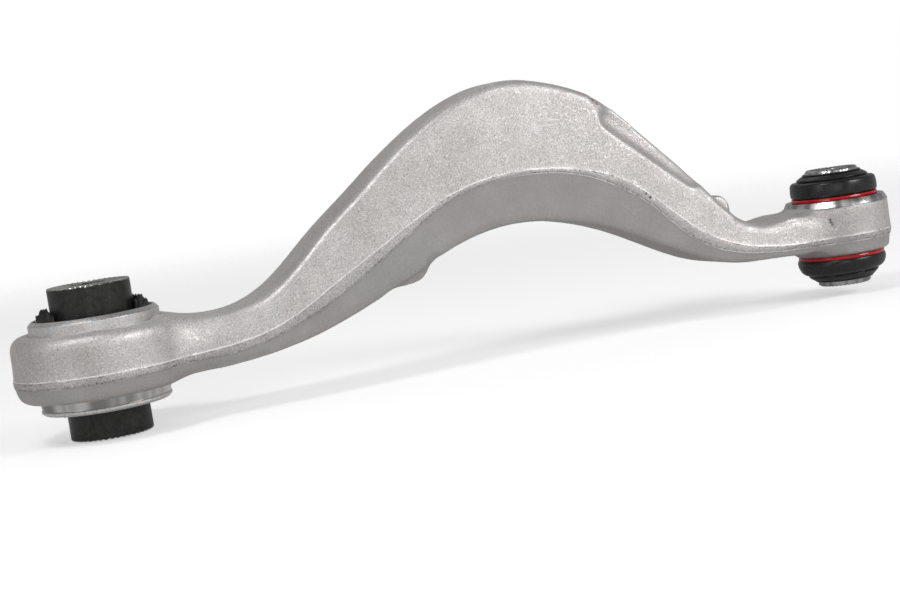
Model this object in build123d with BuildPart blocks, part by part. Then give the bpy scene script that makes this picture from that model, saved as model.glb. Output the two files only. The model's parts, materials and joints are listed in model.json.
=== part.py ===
from build123d import *
from math import radians, sqrt, tan
import os

# A forged aluminium suspension control arm.  The origin is the centre of the large
# rubber bush, +X points to the ball joint, and +Z runs along both bolt axes.
# All sizes are in millimetres.

# Driving dimensions of the whole arm
CENTRE_DISTANCE = 370.0
UPPER_DRAFT = 7.0
LOWER_DRAFT = 10.0
LAND_STEP_AT_BALL = 1.1
LAND_STEP_START = 315.0
LAND_PROUD = 0.3
LAND_TOP_AT_EYES = -3.4
LAND_BOTTOM_AT_EYES = -6.8
RUNNING_GAP = 0.05

# Side view of the bar: (x, z) points of its top and bottom edges, and of the two edges
# of the parting land that runs round it
TOP_EDGE = [
    (10, 15.5), (33, 14.3), (45, 11.8), (57, 11.6), (70, 14.5), (86, 24.0), (104, 39.8),
    (120, 52.2), (138, 66.4), (162, 82.6), (184, 92.4), (202, 94.9), (222, 91.0), (242, 82.5),
    (251, 76.2), (262, 65.0), (284, 42.2), (300, 22.6), (311, 12.0), (328, 8.8), (341, 9.5),
    (350, 11.2), (360, 13.0),
]
LAND_TOP = [
    (10, -3.4), (44, -3.2), (62, -1.4), (78, 2.6), (102, 14.5), (142, 36.2), (160, 45.2),
    (180, 51.2), (202, 52.8), (230, 49.0), (246, 43.4), (264, 31.0), (284, 13.0), (300, 3.6),
    (320, -1.8), (360, -3.4),
]
LAND_BOTTOM = [
    (10, -6.8), (44, -6.4), (60, -5.6), (80, -0.8), (101, 7.8), (142, 32.0), (160, 42.4),
    (178, 48.6), (202, 50.6), (226, 47.4), (246, 38.9), (264, 25.8), (284, 6.8), (298, -0.3),
    (320, -4.8), (360, -6.6),
]
BOTTOM_EDGE = [
    (10, -14.0), (34, -12.7), (57, -11.6), (80, -8.8), (101, -3.7), (125, 5.1), (146, 14.4),
    (162, 21.6), (182, 27.4), (200, 28.7), (220, 25.9), (244, 18.6), (284, -1.2), (300, -6.8),
    (322, -8.7), (344, -9.8), (360, -11.5),
]

# Plan view of the bar
NECK_HALF_AT_BUSH = 20.8
NECK_HALF_AT_BALL = 19.5
BAR_START = 23.0
BAR_END = 357.0
BAR_SECTIONS = 25
BAR_TUCK = 0.3
TOP_EDGE_RADIUS = 5.0
BOTTOM_EDGE_RADIUS = 3.0

# Side outlines of the two bosses, sunk into the bar
UPPER_BOSS = [(286, 20.0), (297, 26.2), (303, 25.8), (307, 21.4), (309.5, 4.0), (290, 6.0)]
LOWER_BOSS = [(132, 8.2), (149.5, 9.8), (154.5, 18.0), (162, 28.0), (140, 30.0)]
UPPER_BOSS_HALF = 9.0
LOWER_BOSS_HALF = 12.0
BOSS_ROUNDING = 1.6

# Scoop along the near top corner of the slope towards the ball joint
SCOOP_CENTRE = (270.0, -19.0, 54.9)
SCOOP_ALONG = (1, 0, -0.86)
SCOOP_LENGTH = 65.0
SCOOP_RADIUS = 7.5

# Large eye and rubber bush
BUSH_EYE_RADIUS = 38.2
BUSH_EYE_UPPER_DRAFT = 1.5
BUSH_EYE_TOP = 15.0
BUSH_EYE_BOTTOM = -14.5
BUSH_EYE_BLEND = 30.0
BUSH_EYE_TOP_ROUNDING = 6.0
BUSH_EYE_BOTTOM_ROUNDING = 5.0
OUTER_SLEEVE_RADIUS = 28.8
OUTER_SLEEVE_WALL = 2.6
OUTER_SLEEVE_HALF = 20.6
OUTER_SLEEVE_CHAMFER = (1.9, 1.6)
OUTER_SLEEVE_ROUNDING = 1.8
CORE_RADIUS = 18.2
CORE_HALF = 33.8
CORE_BORE_RADIUS = 7.1
CORE_EDGE = 0.4
BOLT_BORE_EDGE = 0.8
RUBBER_HALF = 17.5
STOP_RADIUS = 21.8
STOP_WIDTH = 5.0
STOP_TOP = 24.6
STOP_BOTTOM = -22.0
STOP_ANGLE = 56.0
STOP_ROOT = 1.0
VOID_RADIUS = 22.2
VOID_WIDTH = 3.6
VOID_ANGLE = 84.0

# Small eye and ball joint
BALL_EYE_RADIUS = 25.6
BALL_EYE_UPPER_DRAFT = 0.2
BALL_EYE_LOWER_DRAFT = 6.0
BALL_EYE_TOP = 14.0
BALL_EYE_BOTTOM = -13.2
BALL_EYE_BLEND = 25.0
BALL_EYE_MACHINED_BAND = (1.6, 3.0)
BALL_EYE_BOTTOM_CHAMFER = 1.0
BALL_RADIUS = 18.0
BALL_SLEEVE_RADIUS = 12.9
BALL_SLEEVE_HALF = 29.1
BALL_SLEEVE_BORE_RADIUS = 6.1
BALL_SLEEVE_WAIST = 11.8
BALL_SLEEVE_WAIST_HALF = 19.0
BALL_SLEEVE_SHOULDER = 21.0
BALL_SLEEVE_EDGE = 0.9
RACE_RADIUS = 21.5
RACE_HALF = 10.0
RACE_INNER = 4.0
SEAT_RADIUS = 18.8
SEAT_TOP = 16.8
SEAT_BORE = 15.8
LIP_RADIUS = 20.9
LIP_HEIGHT = 0.8

BALL_CENTRE = (CENTRE_DISTANCE, 0, 0)
BALL_AXIS = Axis(BALL_CENTRE, (0, 0, 1))
BALL_SECTION = Plane(origin=BALL_CENTRE, x_dir=(1, 0, 0), z_dir=(0, -1, 0))


# ------------------------------------------------------------------ helpers

def height_on(curve, x):
    """Height of a side-view curve above one x, found by halving the interval."""
    low, high = 0.0, 1.0
    for _ in range(40):
        middle = (low + high) / 2
        if curve.position_at(middle).X < x:
            low = middle
        else:
            high = middle
    return curve.position_at(low).Y


def half_width(distance, eye_radius, neck_half, blend_radius):
    """Half width of the bar at a distance from an eye's centre, with its round blend."""
    tucked_radius = eye_radius - BAR_TUCK
    centre_y = neck_half + blend_radius
    centre_x = sqrt((tucked_radius + blend_radius) ** 2 - centre_y ** 2)
    if distance >= centre_x:
        return neck_half
    return centre_y - sqrt(blend_radius ** 2 - (centre_x - distance) ** 2)


def bar_half_width(x):
    """Half width of the bar at the parting line."""
    share = x / CENTRE_DISTANCE
    neck_half = NECK_HALF_AT_BUSH * (1 - share) + NECK_HALF_AT_BALL * share
    near_bush = half_width(x, BUSH_EYE_RADIUS, neck_half, BUSH_EYE_BLEND)
    near_ball = half_width(CENTRE_DISTANCE - x, BALL_EYE_RADIUS, neck_half, BALL_EYE_BLEND)
    return max(near_bush, near_ball)


def share_of_ball_eye(x):
    """How far the bar's lower side has taken the ball eye's shape: 0 to 1."""
    return min(1, max(0, (x - LAND_STEP_START) / (BAR_END - LAND_STEP_START)))


def drafted_outline(half, heights, upper_draft, lower_draft, land_step):
    """Right half of a drafted forging section, from the top centre to the bottom centre.

    The heights are those of the top, the land's top, the land's bottom and the bottom.
    The land leans in by the land step towards its bottom.
    """
    top, land_top, land_bottom, bottom = heights
    lower_half = half - land_step
    return [
        (0, top),
        (half - (top - land_top) * tan(radians(upper_draft)), top),
        (half, land_top),
        (half + LAND_PROUD, land_top - LAND_PROUD),
        (lower_half + LAND_PROUD, land_bottom + LAND_PROUD),
        (lower_half, land_bottom),
        (lower_half - (land_bottom - bottom) * tan(radians(lower_draft)), bottom),
        (0, bottom),
    ]


def ring_profile(inner, outer, bottom, top):
    """Closed outline of a plain ring's section, as (radius, height) points."""
    return [(inner, bottom), (outer, bottom), (outer, top), (inner, top)]


os.makedirs("parts", exist_ok=True)


# ------------------------------------------------------------------ arm forging

side_curves = [Spline(*points) for points in (TOP_EDGE, LAND_TOP, LAND_BOTTOM, BOTTOM_EDGE)]

with BuildPart() as arm_forging:
    # The arched bar is lofted through drafted sections that stand across it
    for index in range(BAR_SECTIONS):
        x = BAR_START + (BAR_END - BAR_START) * index / (BAR_SECTIONS - 1)
        heights = [height_on(curve, x) for curve in side_curves]
        share = share_of_ball_eye(x)
        lower_draft = LOWER_DRAFT * (1 - share) + BALL_EYE_LOWER_DRAFT * share
        outline = drafted_outline(
            bar_half_width(x), heights, UPPER_DRAFT, lower_draft, LAND_STEP_AT_BALL * share
        )
        right_side = outline[1:-1]
        left_side = [(-y, z) for y, z in reversed(right_side)]
        lower_wall = heights[2] - heights[3]
        with BuildSketch(Plane(origin=(x, 0, 0), x_dir=(0, 1, 0), z_dir=(1, 0, 0))) as section:
            with BuildLine():
                Polyline(*right_side, *left_side, close=True)
            make_face()
            upper_corners = section.vertices().group_by(Axis.Y)[-1]
            fillet(upper_corners, TOP_EDGE_RADIUS)
            lower_corners = section.vertices().group_by(Axis.Y)[0]
            fillet(lower_corners, min(BOTTOM_EDGE_RADIUS, 0.6 * lower_wall))
    loft()

    # Each eye is a drafted disc with the same land round its side
    bush_eye_heights = (BUSH_EYE_TOP, LAND_TOP_AT_EYES, LAND_BOTTOM_AT_EYES, BUSH_EYE_BOTTOM)
    with BuildSketch(Plane.XZ) as bush_eye:
        with BuildLine():
            Polyline(
                *drafted_outline(
                    BUSH_EYE_RADIUS, bush_eye_heights, BUSH_EYE_UPPER_DRAFT, LOWER_DRAFT, 0
                ),
                close=True,
            )
        make_face()
        top_corner = bush_eye.vertices().group_by(Axis.Y)[-1].sort_by(Axis.X)[-1]
        fillet(top_corner, BUSH_EYE_TOP_ROUNDING)
        bottom_corner = bush_eye.vertices().group_by(Axis.Y)[0].sort_by(Axis.X)[-1]
        fillet(bottom_corner, BUSH_EYE_BOTTOM_ROUNDING)
    revolve(axis=Axis.Z)
    ball_eye_heights = (BALL_EYE_TOP, LAND_TOP_AT_EYES, LAND_BOTTOM_AT_EYES, BALL_EYE_BOTTOM)
    with BuildSketch(BALL_SECTION) as ball_eye:
        with BuildLine():
            Polyline(
                *drafted_outline(
                    BALL_EYE_RADIUS, ball_eye_heights, BALL_EYE_UPPER_DRAFT,
                    BALL_EYE_LOWER_DRAFT, LAND_STEP_AT_BALL,
                ),
                close=True,
            )
        make_face()
        top_corner = ball_eye.vertices().group_by(Axis.Y)[-1].sort_by(Axis.X)[-1]
        chamfer(top_corner, *BALL_EYE_MACHINED_BAND)
        bottom_corner = ball_eye.vertices().group_by(Axis.Y)[0].sort_by(Axis.X)[-1]
        chamfer(bottom_corner, BALL_EYE_BOTTOM_CHAMFER)
    revolve(axis=BALL_AXIS)

    # Bosses stand up and down in the forging direction at the foot of each slope
    for outline, half_across in ((UPPER_BOSS, UPPER_BOSS_HALF), (LOWER_BOSS, LOWER_BOSS_HALF)):
        with BuildSketch(Plane.XZ) as boss:
            with BuildLine():
                Polyline(*outline, close=True)
            make_face()
            fillet(boss.vertices(), BOSS_ROUNDING)
        extrude(amount=half_across, both=True)

    # A round-ended scoop takes the near top corner off the slope towards the ball joint
    with BuildSketch(Plane(origin=SCOOP_CENTRE, x_dir=SCOOP_ALONG, z_dir=(0, -1, 0))) as scoop:
        with BuildLine():
            straight = SCOOP_LENGTH / 2 - SCOOP_RADIUS
            Line((-SCOOP_LENGTH / 2, 0), (SCOOP_LENGTH / 2, 0))
            CenterArc((straight, 0), SCOOP_RADIUS, 0, 90)
            Line((straight, SCOOP_RADIUS), (-straight, SCOOP_RADIUS))
            CenterArc((-straight, 0), SCOOP_RADIUS, 90, 90)
        make_face()
    revolve(axis=Axis(SCOOP_CENTRE, SCOOP_ALONG), mode=Mode.SUBTRACT)

    # The large eye is bored for the pressed outer sleeve
    with BuildSketch(Plane.XY) as bush_bore:
        Circle(OUTER_SLEEVE_RADIUS)
    extrude(amount=OUTER_SLEEVE_HALF, both=True, mode=Mode.SUBTRACT)

    # The small eye carries a seat for the lower boot and is bored for the races,
    # with a lip rolled over the closing ring above them
    with BuildSketch(BALL_SECTION) as lower_seat:
        with BuildLine():
            Polyline(
                *ring_profile(SEAT_BORE, SEAT_RADIUS, -SEAT_TOP, BALL_EYE_BOTTOM + 1), close=True
            )
        make_face()
    revolve(axis=BALL_AXIS)
    race_floor = -RACE_HALF - RUNNING_GAP
    lip_bottom = BALL_EYE_TOP - LIP_HEIGHT
    with BuildSketch(BALL_SECTION) as ball_bore:
        with BuildLine():
            Polyline(
                (0, -SEAT_TOP), (SEAT_BORE, -SEAT_TOP), (SEAT_BORE, race_floor),
                (RACE_RADIUS, race_floor), (RACE_RADIUS, lip_bottom), (LIP_RADIUS, lip_bottom),
                (LIP_RADIUS, BALL_EYE_TOP), (0, BALL_EYE_TOP),
                close=True,
            )
        make_face()
    revolve(axis=BALL_AXIS, mode=Mode.SUBTRACT)

arm_forging.part.label = "arm_forging"
export_step(arm_forging.part, "parts/arm_forging.step")


# ------------------------------------------------------------------ large rubber bush

with BuildPart() as bush_outer_sleeve:
    with BuildSketch(Plane.XZ) as sleeve_wall:
        with BuildLine():
            Polyline(
                *ring_profile(
                    OUTER_SLEEVE_RADIUS - OUTER_SLEEVE_WALL, OUTER_SLEEVE_RADIUS,
                    -OUTER_SLEEVE_HALF, OUTER_SLEEVE_HALF,
                ),
                close=True,
            )
        make_face()
        outer_top = sleeve_wall.vertices().group_by(Axis.X)[-1].sort_by(Axis.Y)[-1]
        chamfer(outer_top, *OUTER_SLEEVE_CHAMFER)
        outer_bottom = sleeve_wall.vertices().group_by(Axis.X)[-1].sort_by(Axis.Y)[0]
        fillet(outer_bottom, OUTER_SLEEVE_ROUNDING)
    revolve(axis=Axis.Z)

bush_outer_sleeve.part.label = "bush_outer_sleeve"
export_step(bush_outer_sleeve.part, "parts/bush_outer_sleeve.step")

rubber_inner = CORE_RADIUS + RUNNING_GAP
rubber_outer = OUTER_SLEEVE_RADIUS - OUTER_SLEEVE_WALL - RUNNING_GAP
with BuildPart() as bush_rubber:
    with BuildSketch(Plane.XZ) as rubber_ring:
        with BuildLine():
            Polyline(*ring_profile(rubber_inner, rubber_outer, -RUBBER_HALF, RUBBER_HALF), close=True)
        make_face()
    revolve(axis=Axis.Z)
    # Two through voids, one on each side of the core across the arm
    with BuildSketch(Plane.XY.offset(-RUBBER_HALF)) as voids:
        with PolarLocations(0, 2, start_angle=90):
            SlotArc(CenterArc((0, 0), VOID_RADIUS, -VOID_ANGLE / 2, VOID_ANGLE), VOID_WIDTH)
    extrude(amount=2 * RUBBER_HALF, mode=Mode.SUBTRACT)
    # Raised travel stops at both ends of the bush, in line with the arm
    stop_root = RUBBER_HALF - STOP_ROOT
    for stop_start, stop_end in ((stop_root, STOP_TOP), (STOP_BOTTOM, -stop_root)):
        with BuildSketch(Plane.XY.offset(stop_start)) as stops:
            with PolarLocations(0, 2):
                SlotArc(CenterArc((0, 0), STOP_RADIUS, -STOP_ANGLE / 2, STOP_ANGLE), STOP_WIDTH)
        extrude(amount=stop_end - stop_start)

bush_rubber.part.label = "bush_rubber"
export_step(bush_rubber.part, "parts/bush_rubber.step")

with BuildPart() as bush_inner_sleeve:
    with BuildSketch(Plane.XZ) as core_wall:
        with BuildLine():
            Polyline(
                *ring_profile(CORE_BORE_RADIUS, CORE_RADIUS, -CORE_HALF, CORE_HALF), close=True
            )
        make_face()
        chamfer(core_wall.vertices().group_by(Axis.X)[-1], CORE_EDGE)
        chamfer(core_wall.vertices().group_by(Axis.X)[0], BOLT_BORE_EDGE)
    revolve(axis=Axis.Z)

bush_inner_sleeve.part.label = "bush_inner_sleeve"
export_step(bush_inner_sleeve.part, "parts/bush_inner_sleeve.step")


# ------------------------------------------------------------------ ball joint

with BuildPart() as ball_sleeve:
    with BuildSketch(BALL_SECTION) as sleeve_section:
        with BuildLine():
            upper_side = [
                (BALL_SLEEVE_WAIST, BALL_SLEEVE_WAIST_HALF),
                (BALL_SLEEVE_RADIUS, BALL_SLEEVE_SHOULDER),
                (BALL_SLEEVE_RADIUS, BALL_SLEEVE_HALF - BALL_SLEEVE_EDGE),
                (BALL_SLEEVE_RADIUS - BALL_SLEEVE_EDGE, BALL_SLEEVE_HALF),
                (0, BALL_SLEEVE_HALF),
            ]
            lower_side = [(radius, -height) for radius, height in reversed(upper_side)]
            Polyline(*lower_side, *upper_side, close=True)
        make_face()
    revolve(axis=BALL_AXIS)
    with BuildSketch(BALL_SECTION) as ball_section:
        with BuildLine():
            ThreePointArc((0, -BALL_RADIUS), (BALL_RADIUS, 0), (0, BALL_RADIUS))
            Line((0, BALL_RADIUS), (0, -BALL_RADIUS))
        make_face()
    revolve(axis=BALL_AXIS)
    with Locations(BALL_CENTRE):
        Hole(BALL_SLEEVE_BORE_RADIUS)
    circles = ball_sleeve.edges().filter_by(GeomType.CIRCLE)
    chamfer(circles.group_by(SortBy.RADIUS)[0], BOLT_BORE_EDGE)

ball_sleeve.part.label = "ball_sleeve"
export_step(ball_sleeve.part, "parts/ball_sleeve.step")

# The plastic bearing is split at the ball's middle, so the two halves close round it
for name, race_bottom, race_top in (
    ("ball_race_upper", RUNNING_GAP, RACE_HALF),
    ("ball_race_lower", -RACE_HALF, -RUNNING_GAP),
):
    with BuildPart() as ball_race:
        with BuildSketch(BALL_SECTION) as race_section:
            with BuildLine():
                Polyline(
                    *ring_profile(RACE_INNER, RACE_RADIUS - RUNNING_GAP, race_bottom, race_top),
                    close=True,
                )
            make_face()
            Circle(BALL_RADIUS + RUNNING_GAP, mode=Mode.SUBTRACT)
        revolve(axis=BALL_AXIS)
    ball_race.part.label = name
    export_step(ball_race.part, f"parts/{name}.step")

with BuildPart() as ball_closing_ring:
    flange_bottom = RACE_HALF + RUNNING_GAP
    flange_top = BALL_EYE_TOP - LIP_HEIGHT - RUNNING_GAP
    with BuildSketch(BALL_SECTION) as closing_section:
        with BuildLine():
            Polyline(
                (SEAT_BORE, flange_bottom), (RACE_RADIUS - RUNNING_GAP, flange_bottom),
                (RACE_RADIUS - RUNNING_GAP, flange_top), (SEAT_RADIUS, flange_top),
                (SEAT_RADIUS, SEAT_TOP), (SEAT_BORE, SEAT_TOP),
                close=True,
            )
        make_face()
    revolve(axis=BALL_AXIS)

ball_closing_ring.part.label = "ball_closing_ring"
export_step(ball_closing_ring.part, "parts/ball_closing_ring.step")

# (radius, height) points of the boots and collars; the lower ones are mirror images
BOOT_PROFILE = [
    (18.9, 14.05), (20.0, 14.05), (20.0, 16.4), (21.0, 17.8), (21.0, 20.8), (19.3, 23.0),
    (15.6, 24.3), (13.1, 24.3), (13.1, 22.6), (15.0, 22.4), (18.2, 21.4), (19.3, 20.0),
    (19.3, 18.6), (18.9, 17.2),
]
COLLAR_PROFILE = [
    (13.0, 24.4), (15.7, 24.4), (16.1, 24.9), (16.1, 25.4), (13.6, 27.3), (13.0, 27.3),
]
CLAMP_RING_INNER = 20.05
CLAMP_RING_OUTER = 21.1
CLAMP_RING_HEIGHT = 2.2
CLAMP_RING_EDGE = 0.4


def clamp_ring_profile(start):
    """Section of the ring that holds a boot on its seat, from its height at the eye."""
    end = start + CLAMP_RING_HEIGHT
    corner = CLAMP_RING_OUTER - CLAMP_RING_EDGE
    return [
        (CLAMP_RING_INNER, start), (corner, start), (CLAMP_RING_OUTER, start + CLAMP_RING_EDGE),
        (CLAMP_RING_OUTER, end - CLAMP_RING_EDGE), (corner, end), (CLAMP_RING_INNER, end),
    ]


for side, side_name, eye_height in ((1, "upper", BALL_EYE_TOP), (-1, "lower", -BALL_EYE_BOTTOM)):
    for name, profile in (
        (f"{side_name}_boot", BOOT_PROFILE),
        (f"{side_name}_boot_clamp_ring", clamp_ring_profile(eye_height + 2 * RUNNING_GAP)),
        (f"{side_name}_seal_collar", COLLAR_PROFILE),
    ):
        with BuildPart() as seal_ring:
            with BuildSketch(BALL_SECTION) as seal_section:
                with BuildLine():
                    Polyline(*[(radius, side * height) for radius, height in profile], close=True)
                make_face()
            revolve(axis=BALL_AXIS)
        seal_ring.part.label = name
        export_step(seal_ring.part, f"parts/{name}.step")
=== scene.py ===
import json
import math

import bmesh
import bpy
import numpy as np
from mathutils import Matrix, Vector, noise


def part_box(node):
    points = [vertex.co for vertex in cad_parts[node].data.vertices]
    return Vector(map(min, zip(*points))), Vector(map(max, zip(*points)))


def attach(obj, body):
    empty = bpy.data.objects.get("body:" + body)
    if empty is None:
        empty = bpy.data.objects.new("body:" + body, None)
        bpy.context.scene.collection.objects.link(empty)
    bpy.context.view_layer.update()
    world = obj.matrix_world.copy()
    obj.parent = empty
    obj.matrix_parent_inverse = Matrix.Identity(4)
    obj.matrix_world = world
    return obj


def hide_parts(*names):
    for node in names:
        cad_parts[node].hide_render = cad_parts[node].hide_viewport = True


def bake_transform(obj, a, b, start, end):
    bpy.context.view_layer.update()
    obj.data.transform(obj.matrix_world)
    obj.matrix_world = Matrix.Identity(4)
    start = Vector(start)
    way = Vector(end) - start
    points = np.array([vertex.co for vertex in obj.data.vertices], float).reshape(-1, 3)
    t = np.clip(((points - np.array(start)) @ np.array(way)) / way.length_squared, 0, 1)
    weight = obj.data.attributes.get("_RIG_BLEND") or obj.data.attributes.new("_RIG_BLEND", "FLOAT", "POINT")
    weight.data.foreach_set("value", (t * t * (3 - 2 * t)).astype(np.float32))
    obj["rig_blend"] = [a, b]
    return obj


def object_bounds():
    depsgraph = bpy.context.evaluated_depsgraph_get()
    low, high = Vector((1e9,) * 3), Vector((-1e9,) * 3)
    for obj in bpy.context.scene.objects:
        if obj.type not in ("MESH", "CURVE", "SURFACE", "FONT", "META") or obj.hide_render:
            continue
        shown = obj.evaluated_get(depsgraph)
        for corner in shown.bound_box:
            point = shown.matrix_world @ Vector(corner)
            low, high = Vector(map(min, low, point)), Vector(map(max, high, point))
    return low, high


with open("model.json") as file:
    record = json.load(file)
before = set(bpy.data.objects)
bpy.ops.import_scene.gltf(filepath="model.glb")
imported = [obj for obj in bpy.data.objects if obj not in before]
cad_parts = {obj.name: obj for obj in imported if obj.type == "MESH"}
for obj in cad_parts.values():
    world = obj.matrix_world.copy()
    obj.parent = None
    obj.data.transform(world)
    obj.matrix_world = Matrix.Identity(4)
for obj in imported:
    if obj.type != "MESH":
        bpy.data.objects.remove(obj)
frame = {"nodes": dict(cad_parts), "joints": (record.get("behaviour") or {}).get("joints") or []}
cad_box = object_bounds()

# Lengths below are millimetres in the part's own frame, and MM turns them into metres for
# meshes and materials. The floor, the lights and the camera are placed in metres.
MM = 0.001

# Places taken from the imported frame
BALL_X = frame["joints"][-1]["pos_m"][0]
BUSH_CENTRE = Vector((0, 0, 0))
BALL_CENTRE = Vector((BALL_X, 0, 0))
SLEEVE_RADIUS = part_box("bush_outer_sleeve")[1].x / MM
SLEEVE_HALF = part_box("bush_outer_sleeve")[1].z / MM
CORE_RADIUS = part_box("bush_inner_sleeve")[1].x / MM
CORE_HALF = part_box("bush_inner_sleeve")[1].z / MM
JOINT_SLEEVE_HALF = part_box("ball_sleeve")[1].z / MM
STOP_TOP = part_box("bush_rubber")[1].z / MM
STOP_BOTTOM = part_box("bush_rubber")[0].z / MM

# Sizes that the frame's boxes don't show
SLEEVE_WALL = 2.6
CORE_BORE = 7.1
JOINT_SLEEVE_RADIUS = 12.9
JOINT_SLEEVE_BORE = 6.1
JOINT_NECK_RADIUS = 11.8
BALL_RADIUS = 18.0
BALL_EYE_TOP = 14.0
BALL_EYE_BOTTOM = -13.2
LATHE_SEGMENTS = 240

# Side view of the parting land round the bar: (x, z) points of its two edges
LAND_TOP = [
    (10, -3.4), (44, -3.2), (62, -1.4), (78, 2.6), (102, 14.5), (142, 36.2), (160, 45.2),
    (180, 51.2), (202, 52.8), (230, 49.0), (246, 43.4), (264, 31.0), (284, 13.0), (300, 3.6),
    (320, -1.8), (360, -3.4),
]
LAND_BOTTOM = [
    (10, -6.8), (44, -6.4), (60, -5.6), (80, -0.8), (101, 7.8), (142, 32.0), (160, 42.4),
    (178, 48.6), (202, 50.6), (226, 47.4), (246, 38.9), (264, 25.8), (284, 6.8), (298, -0.3),
    (320, -4.8), (360, -6.6),
]

# Nicks and marks on the near side of the ball eye and the arch: place, radius, and the tone that they add. A
# dark one is a dent with painted shade in it and a pale one stands proud with a painted highlight.
MARKS = [
    ((354.7, -20.3, 5.5), 0.9, -0.3), ((354.9, -20.4, 4.2), 1.1, -0.36),
    ((355.3, -20.8, 2.8), 1.0, -0.3), ((356.2, -21.4, 1.4), 0.8, -0.2),
    ((356.6, -21.5, 0.3), 0.75, 0.3), ((349.6, -20.5, 1.6), 0.7, 0.22),
    ((361.6, -24.0, 7.1), 0.45, -0.3), ((378.8, -23.8, -3.3), 0.7, -0.42),
    ((377.0, -24.4, -3.4), 0.5, -0.3), ((374.8, -24.9, -3.6), 0.45, -0.25),
    ((242.2, -14.0, 79.8), 1.1, -0.3), ((244.2, -14.4, 78.0), 0.9, -0.3),
    ((240.1, -13.8, 81.0), 0.7, -0.2), ((244.8, -20.3, 43.9), 0.9, -0.4),
    ((240.6, -20.3, 45.7), 0.6, -0.3), ((262.2, -20.3, 30.8), 1.0, -0.4),
    ((260.3, -20.3, 32.9), 0.8, -0.35), ((228.7, -20.4, 48.5), 0.6, -0.35),
    ((252.0, -19.0, 27.9), 0.5, -0.2),
]


# ------------------------------------------------------------------ mesh helpers

def smooth_curve(points, samples=600):
    """Natural cubic spline through (x, z) points, as sampled x and z arrays."""
    points = np.array(points, float)
    steps = np.linalg.norm(np.diff(points, axis=0), axis=1)
    knots = np.concatenate([[0], np.cumsum(steps)])
    count = len(points)
    system = np.eye(count)
    sides = np.zeros((count, 2))
    for i in range(1, count - 1):
        system[i, i - 1:i + 2] = steps[i - 1], 2 * (steps[i - 1] + steps[i]), steps[i]
        slope_after = (points[i + 1] - points[i]) / steps[i]
        slope_before = (points[i] - points[i - 1]) / steps[i - 1]
        sides[i] = 6 * (slope_after - slope_before)
    bends = np.linalg.solve(system, sides)
    at = np.linspace(0, knots[-1], samples)
    i = np.clip(np.searchsorted(knots, at) - 1, 0, count - 2)
    step = steps[i][:, None]
    before = (at - knots[i])[:, None]
    after = step - before
    curve = (
        bends[i] * after ** 3 / (6 * step) + bends[i + 1] * before ** 3 / (6 * step)
        + (points[i] / step - bends[i] * step / 6) * after
        + (points[i + 1] / step - bends[i + 1] * step / 6) * before
    )
    return curve[:, 0], curve[:, 1]


def smoothstep(low, high, value):
    """0 at low and beyond, 1 at high and beyond, and a smooth rise between them."""
    share = np.clip((value - low) / (high - low), 0, 1)
    return share * share * (3 - 2 * share)


def rounded(outline, radius, steps=6):
    """Closed outline of (radius, height) points with each sharp corner turned into an arc."""
    points = [np.array(point, float) for point in outline]
    result = []
    for index, corner in enumerate(points):
        back = points[index - 1] - corner
        ahead = points[(index + 1) % len(points)] - corner
        back_length = np.linalg.norm(back)
        ahead_length = np.linalg.norm(ahead)
        back /= back_length
        ahead /= ahead_length
        half_angle = math.acos(np.clip(back @ ahead, -1, 1)) / 2
        reach = min(radius / math.tan(half_angle), 0.45 * back_length, 0.45 * ahead_length)
        bend = reach * math.tan(half_angle)
        middle = back + ahead
        if half_angle > math.radians(85) or np.linalg.norm(middle) < 1e-6:
            result.append(tuple(corner))
            continue
        centre = corner + middle / np.linalg.norm(middle) * (bend / math.sin(half_angle))
        first = corner + back * reach - centre
        last = corner + ahead * reach - centre
        turn = math.atan2(first[0] * last[1] - first[1] * last[0], first @ last)
        for step in range(steps + 1):
            angle = turn * step / steps
            x = first[0] * math.cos(angle) - first[1] * math.sin(angle)
            y = first[0] * math.sin(angle) + first[1] * math.cos(angle)
            result.append((centre[0] + x, centre[1] + y))
    return result


def link(name, mesh):
    """New object for a mesh, in the scene."""
    piece = bpy.data.objects.new(name, mesh)
    bpy.context.scene.collection.objects.link(piece)
    return piece


def lathe(name, outline_at, centre, segments=LATHE_SEGMENTS):
    """Closed ring turned about Z; outline_at gives the (radius, height) section at an angle."""
    rings = []
    for step in range(segments):
        angle = 2 * math.pi * step / segments
        outline = outline_at(angle)
        ring = [
            (radius * math.cos(angle) * MM, radius * math.sin(angle) * MM, height * MM)
            for radius, height in outline
        ]
        rings.append(ring)
    count = len(rings[0])
    vertices = [Vector(point) + centre for ring in rings for point in ring]
    faces = []
    for step in range(segments):
        here = step * count
        there = (step + 1) % segments * count
        for index in range(count):
            following = (index + 1) % count
            faces.append((here + index, there + index, there + following, here + following))
    mesh = bpy.data.meshes.new(name)
    mesh.from_pydata(vertices, [], faces)
    shape = bmesh.new()
    shape.from_mesh(mesh)
    bmesh.ops.recalc_face_normals(shape, faces=shape.faces)
    shape.to_mesh(mesh)
    shape.free()
    mesh.polygons.foreach_set("use_smooth", [True] * len(mesh.polygons))
    return link(name, mesh)


def turned_ring(name, outline, centre, radius):
    """Ring of one section all round, with rounded corners."""
    section = rounded(outline, radius)
    return lathe(name, lambda angle: section, centre)


def coordinates(mesh):
    """The mesh's vertices as an array."""
    points = np.empty(len(mesh.vertices) * 3)
    mesh.vertices.foreach_get("co", points)
    return points.reshape(-1, 3)


def normals(mesh):
    """The mesh's vertex normals as an array."""
    directions = np.empty(len(mesh.vertices) * 3)
    mesh.vertex_normals.foreach_get("vector", directions)
    return directions.reshape(-1, 3)


def set_attribute(mesh, name, values):
    """Stores one number for each vertex, for the material to read."""
    attribute = mesh.attributes.get(name) or mesh.attributes.new(name, "FLOAT", "POINT")
    attribute.data.foreach_set("value", np.asarray(values, np.float32))


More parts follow.
